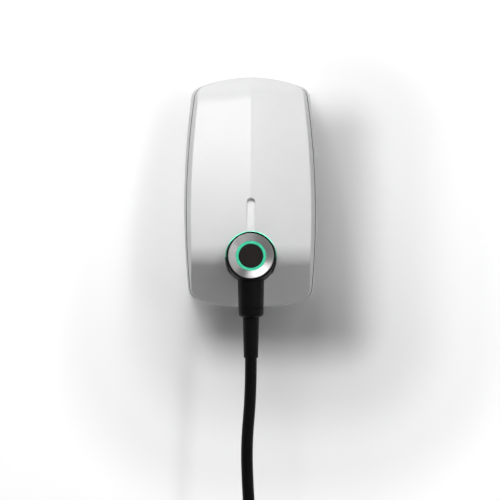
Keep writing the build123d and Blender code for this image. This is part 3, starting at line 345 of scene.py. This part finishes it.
finishes = {
    "bezel_metal": turned_metal("bezel_metal", (0.45, 0.44, 0.44), (0.54, 0.53, 0.53), (0.36, 0.42)),
    "mint_light": lit_diffuser("mint_light", (0.045, 0.5, 0.29), (0.06, 0.62, 0.38)),
    "circuit_board": circuit_board("circuit_board", (0.25, 0.4)),
    "strap_webbing": woven("strap_webbing", (0.012, 0.012, 0.013), (0.035, 0.035, 0.037)),
}
for slot, values in MOULDED.items():
    finishes[slot] = moulded(slot, *values)
for slot, values in DRAWN.items():
    finishes[slot] = drawn_metal(slot, *values)
for entry in frame["record"]["subparts"]:
    mesh = nodes[entry["node"]].data
    mesh.materials.clear()
    mesh.materials.append(finishes[entry["material_slot"]])


# Cable and straps

def eased(share):
    """Share held between nought and one, with a soft start and end."""
    share = min(1.0, max(0.0, share))
    return share * share * (3 - 2 * share)


def coil_points():
    """Turns of the coil: each track is left for the next one over a short stretch of the turn."""
    total = 360.0 * COIL_TURNS - COIL_START
    period = total / len(COIL_TRACKS)
    count = round(total / 360.0 * COIL_POINTS_PER_TURN)
    # The smooth line runs inside its points, so they stand a little outside its radius
    stretch = 2.0 / (1.0 + math.cos(math.pi / COIL_POINTS_PER_TURN))
    points = []
    for i in range(count):
        turned = total * i / count
        track = min(int(turned / period), len(COIL_TRACKS) - 1)
        here = COIL_TRACKS[track]
        there = COIL_TRACKS[min(track + 1, len(COIL_TRACKS) - 1)]
        share = eased((turned - track * period - period + TRACK_CHANGE) / TRACK_CHANGE)
        reach = (COIL_RADIUS + CABLE_DIAMETER * (here[0] + share * (there[0] - here[0]))) * stretch
        depth = COIL_DEPTH + CABLE_DIAMETER * (here[1] + share * (there[1] - here[1]))
        depth += SINK_DEPTH * max(0.0, 1.0 - turned / SINK_ARC)
        angle = math.radians(COIL_START + turned)
        points.append((reach * math.sin(angle), depth, COIL_Z + reach * math.cos(angle)))
    return points


def make_cable():
    """The whole cable as one smooth line: free lead, coil and tail to the connector."""
    route = LEAD_ROUTE + coil_points() + TAIL_ROUTE
    curve = bpy.data.curves.new("charging_cable_line", "CURVE")
    curve.dimensions = "3D"
    curve.bevel_depth = CABLE_DIAMETER / 2
    curve.bevel_resolution = CABLE_ROUND_STEPS
    curve.resolution_u = CABLE_LINE_STEPS
    curve.use_fill_caps = True
    spline = curve.splines.new("NURBS")
    spline.points.add(len(route) - 1)
    for point, (x, depth, z) in zip(spline.points, route):
        point.co = (x, -depth, z, 1)
    spline.order_u = 3
    spline.use_endpoint_u = True
    curve.materials.append(finishes["cable_jacket"])
    cable = link(bpy.data.objects.new("flexible_cable", curve))
    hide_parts("charging_cable", "cable_coil", "cable_tail")
    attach(cable, "root")
    return cable


def strap_line(travel, half, corner):
    """Point and outward direction on a rounded square, at a distance along it from the middle of one side."""
    flat = half - corner
    bend = math.pi / 2 * corner
    side = 2 * flat + bend
    turn, rest = divmod(travel + flat, side)
    if rest < 2 * flat:
        point, normal = Vector((half, rest - flat)), Vector((1, 0))
    else:
        angle = (rest - 2 * flat) / corner
        normal = Vector((math.cos(angle), math.sin(angle)))
        point = Vector((flat, flat)) + corner * normal
    for _ in range(int(turn) % 4):
        point = Vector((-point.y, point.x))
        normal = Vector((-normal.y, normal.x))
    return point, normal


def make_strap(name, angle):
    """Webbing strap round the bundle, its end laid over its start."""
    half = COIL_BUNDLE / 2 + STRAP_GAP + STRAP_THICKNESS / 2
    corner = CABLE_DIAMETER / 2 + STRAP_THICKNESS / 2
    around = 4 * (2 * (half - corner) + math.pi / 2 * corner)
    outward = Vector((math.cos(math.radians(angle)), 0, math.sin(math.radians(angle))))
    forward = Vector((0, -1, 0))
    along = Vector((-outward.z, 0, outward.x))
    centre = outward * COIL_RADIUS + Vector((0, -COIL_DEPTH, COIL_Z))
    shape = bmesh.new()
    rings = []
    for i in range(STRAP_STEPS + 1):
        travel = (around + STRAP_OVERLAP) * i / STRAP_STEPS
        point, normal = strap_line(travel, half, corner)
        point = point + normal * STRAP_THICKNESS * eased((travel - around + STRAP_RISE) / STRAP_RISE)
        ring = []
        for across, out in ((-1, -1), (-1, 1), (1, 1), (1, -1)):
            spot = point + normal * STRAP_THICKNESS / 2 * out
            place = centre + outward * spot.x + forward * spot.y + along * across * STRAP_WIDTH / 2
            ring.append(shape.verts.new(place))
        rings.append(ring)
    for first, second in zip(rings, rings[1:]):
        for k in range(4):
            shape.faces.new((first[k], first[(k + 1) % 4], second[(k + 1) % 4], second[k]))
    shape.faces.new(rings[0])
    shape.faces.new(rings[-1])
    bmesh.ops.recalc_face_normals(shape, faces=shape.faces)
    data = bpy.data.meshes.new(name)
    shape.to_mesh(data)
    shape.free()
    data.materials.append(finishes["strap_webbing"])
    strap = link(bpy.data.objects.new(name, data))
    edge = strap.modifiers.new("edge", "BEVEL")
    edge.width = STRAP_EDGE
    edge.segments = 2
    edge.limit_method = "ANGLE"
    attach(strap, "root")
    return strap


cable = make_cable()
straps = [make_strap(f"coil_strap_{i + 1}", angle) for i, angle in enumerate(STRAP_ANGLES)]
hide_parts("coil_straps")


# Stage

def stage_paint(name):
    """Pale matt paint."""
    made, tree, shader, place = new_material(name)
    shader.inputs["Base Color"].default_value = (*STAGE_COLOUR, 1)
    shader.inputs["Roughness"].default_value = 0.9
    shader.inputs["Specular IOR Level"].default_value = 0.1
    shader.inputs["Emission Color"].default_value = (1, 1, 1, 1)
    return made, tree, shader, place


def seen_directly(tree):
    """One for rays that show the background: straight from the camera or by gloss or glass."""
    path = tree.nodes.new("ShaderNodeLightPath")
    seen = path.outputs["Is Camera Ray"]
    for kind in ("Is Glossy Ray", "Is Transmission Ray"):
        seen = calculated(tree, "MAXIMUM", seen, path.outputs[kind])
    return seen


def clear_where(tree, shader, hidden):
    """Leave the surface clear where a value is one."""
    clear = tree.nodes.new("ShaderNodeBsdfTransparent")
    mix = tree.nodes.new("ShaderNodeMixShader")
    tree.links.new(hidden, mix.inputs["Fac"])
    tree.links.new(shader.outputs["BSDF"], mix.inputs[1])
    tree.links.new(clear.outputs["BSDF"], mix.inputs[2])
    tree.links.new(mix.outputs["Shader"], tree.nodes["Material Output"].inputs["Surface"])


def floor_paint():
    """Paint that is evenly lighter where it is seen, and clear from below."""
    made, tree, shader, _ = stage_paint("floor_paint")
    glow = ranged(tree, seen_directly(tree), (0, 1), (0, FLOOR_GLOW))
    tree.links.new(glow, shader.inputs["Emission Strength"])
    below = tree.nodes.new("ShaderNodeNewGeometry").outputs["Backfacing"]
    clear_where(tree, shader, below)
    return made


def wall_paint():
    """Paint that is clear from behind and close to the object, with painted light where it is seen that makes
    it lighter away from the object's shadow.
    """
    made, tree, shader, place = stage_paint("wall_paint")
    away = place
    for operation, amount in (("SUBTRACT", SHADE_CENTRE), ("ABSOLUTE", None), ("SUBTRACT", SHADE_HALF),
                              ("MAXIMUM", (0, 0, 0)), ("LENGTH", None)):
        step = tree.nodes.new("ShaderNodeVectorMath")
        step.operation = operation
        if amount:
            step.inputs[1].default_value = amount
        tree.links.new(away, step.inputs[0])
        away = step.outputs["Value" if operation == "LENGTH" else "Vector"]
    # Painted light: none inside the shadow box, rising with the distance outside it, added only where the
    # wall is seen
    painted_light_ramp = tree.nodes.new("ShaderNodeValToRGB")
    painted_light_ramp.color_ramp.interpolation = "EASE"
    for position, _ in PAINTED_LIGHT_STEPS[2:]:
        painted_light_ramp.color_ramp.elements.new(position)
    for element, (position, light) in zip(painted_light_ramp.color_ramp.elements, PAINTED_LIGHT_STEPS):
        element.position = position
        element.color = (light, light, light, 1)
    tree.links.new(ranged(tree, away, (0, PAINTED_LIGHT_REACH), (0, 1)), painted_light_ramp.inputs["Fac"])
    glow = calculated(tree, "MULTIPLY", painted_light_ramp.outputs["Color"], seen_directly(tree))
    tree.links.new(glow, shader.inputs["Emission Strength"])
    ray_length = tree.nodes.new("ShaderNodeLightPath").outputs["Ray Length"]
    near = calculated(tree, "LESS_THAN", ray_length, CONTACT_LENGTH)
    behind = tree.nodes.new("ShaderNodeNewGeometry").outputs["Backfacing"]
    clear_where(tree, shader, calculated(tree, "MAXIMUM", near, behind))
    return made


def stage_sheet(name, corners, paint):
    """Flat stage sheet whose face looks towards the object."""
    mesh = bpy.data.meshes.new(name)
    mesh.from_pydata(corners, [], [(0, 1, 2, 3)])
    mesh.materials.append(paint)
    link(bpy.data.objects.new(name, mesh))


left, right = -STAGE_WIDTH / 2, STAGE_WIDTH / 2
top = FLOOR_Z + STAGE_HEIGHT
stage_sheet("stage_wall", [(left, WALL_GAP, FLOOR_Z), (right, WALL_GAP, FLOOR_Z), (right, WALL_GAP, top),
                           (left, WALL_GAP, top)], wall_paint())
stage_sheet("stage_floor", [(left, -STAGE_DEPTH, FLOOR_Z), (right, -STAGE_DEPTH, FLOOR_Z),
                            (right, WALL_GAP, FLOOR_Z), (left, WALL_GAP, FLOOR_Z)], floor_paint())


# Lamps, world and camera

def soft_lamp(name, direction, reach, size, power):
    """Soft rectangular light round the object: azimuth to the right of the front, elevation and distance."""
    azimuth, elevation = (math.radians(angle) for angle in direction)
    data = bpy.data.lights.new(name, "AREA")
    data.shape = "RECTANGLE"
    data.size, data.size_y = size
    data.energy = power
    lamp = link(bpy.data.objects.new(name, data))
    towards = Vector((math.sin(azimuth) * math.cos(elevation), -math.cos(azimuth) * math.cos(elevation),
                      math.sin(elevation)))
    lamp.location = Vector(LAMP_AIM) + towards * reach
    lamp.rotation_euler = towards.to_track_quat("Z", "Y").to_euler()
    lamp.visible_camera = False


soft_lamp("key_light", direction=(-11, 40), reach=1.1, size=(0.4, 0.4), power=4.5)
soft_lamp("left_light", direction=(-33, 40), reach=1.0, size=(0.45, 0.45), power=2.1)
soft_lamp("right_light", direction=(60, 4), reach=1.6, size=(0.22, 1.2), power=1.8)
soft_lamp("strip_light", direction=(31, 19), reach=1.6, size=(0.16, 1.4), power=5.2)
soft_lamp("back_light", direction=(160, 30), reach=1.8, size=(1.2, 1.2), power=26.0)

world = bpy.data.worlds.new("studio")
world.use_nodes = True
sky = world.node_tree.nodes["Background"]
sky.inputs["Color"].default_value = (1, 1, 1, 1)
shown = ranged(world.node_tree, seen_directly(world.node_tree), (0, 1), (WORLD_LIGHT, WORLD_SEEN))
world.node_tree.links.new(shown, sky.inputs["Strength"])
scene.world = world

camera_data = bpy.data.cameras.new("camera")
camera_data.sensor_width = SENSOR_MM
camera_data.lens = FOCAL_PIXELS * SENSOR_MM / IMAGE_PIXELS
camera = link(bpy.data.objects.new("camera", camera_data))
camera.location = CAMERA_PLACE
camera.rotation_euler = (math.radians(90), 0, 0)
scene.camera = camera
scene.view_settings.view_transform = "Standard"
